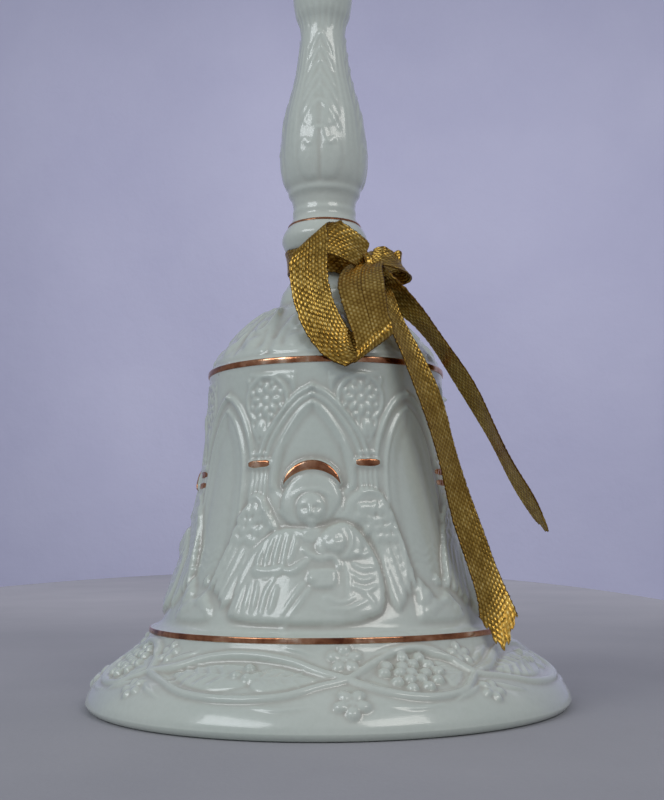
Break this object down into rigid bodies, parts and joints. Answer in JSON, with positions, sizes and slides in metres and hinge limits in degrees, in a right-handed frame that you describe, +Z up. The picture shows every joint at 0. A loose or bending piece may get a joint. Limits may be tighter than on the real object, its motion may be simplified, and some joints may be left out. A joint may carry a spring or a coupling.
{
  "type": "hand bell",
  "caption": "Mouth-down porcelain hand bell with moulded relief, gilt bands, a baluster handle, a hanging clapper and a ribbon bow at the neck.",
  "frame": {"origin": "centre of the mouth, on the plane that the foot ring rests on", "axes": "+Z up along the bell's axis to the handle's tip, -Y through the front figure's bay, +X to the right seen from the front"},
  "size_m": [0.102, 0.102, 0.158],
  "materials": {
    "porcelain": "glossy ivory glaze",
    "gilding": "burnished copper-gold lustre",
    "cement": "matt plaster",
    "brass_wire": "drawn, slightly dull",
    "metal_mesh_ribbon": "woven flat gold thread, sparkling"
  },
  "bodies": {
    "bell": {"bell_shell": "porcelain", "handle": "porcelain", "skirt_gilt_band": "gilding", "shoulder_gilt_band": "gilding", "neck_gilt_line": "gilding", "halo_gilding": "gilding", "front_capital_gilding": "gilding", "side_capital_gilding": "gilding", "crown_plug": "cement", "hanger_staple": "brass_wire", "ribbon_neck_wrap": "metal_mesh_ribbon", "ribbon_knot": "metal_mesh_ribbon", "ribbon_large_loop": "metal_mesh_ribbon", "ribbon_small_loop": "metal_mesh_ribbon", "ribbon_upper_tail": "metal_mesh_ribbon", "ribbon_lower_tail": "metal_mesh_ribbon"},
    "ring": {"hanger_ring": "brass_wire"},
    "clapper": {"clapper_wire": "brass_wire", "clapper_ball": "porcelain", "clapper_wire_stop": "brass_wire"}
  },
  "joints": [
    {"name": "ring_swing_fore_aft", "type": "hinge", "parent": "bell", "child": "ring", "pos_m": [0, 0, 0.072], "axis": [1, 0, 0], "range_deg": [-18.5, 18.5]},
    {"name": "clapper_swing_sideways", "type": "hinge", "parent": "ring", "child": "clapper", "pos_m": [0, 0, 0.0671], "axis": [0, 1, 0], "range_deg": [-18.5, 18.5]}
  ]
}
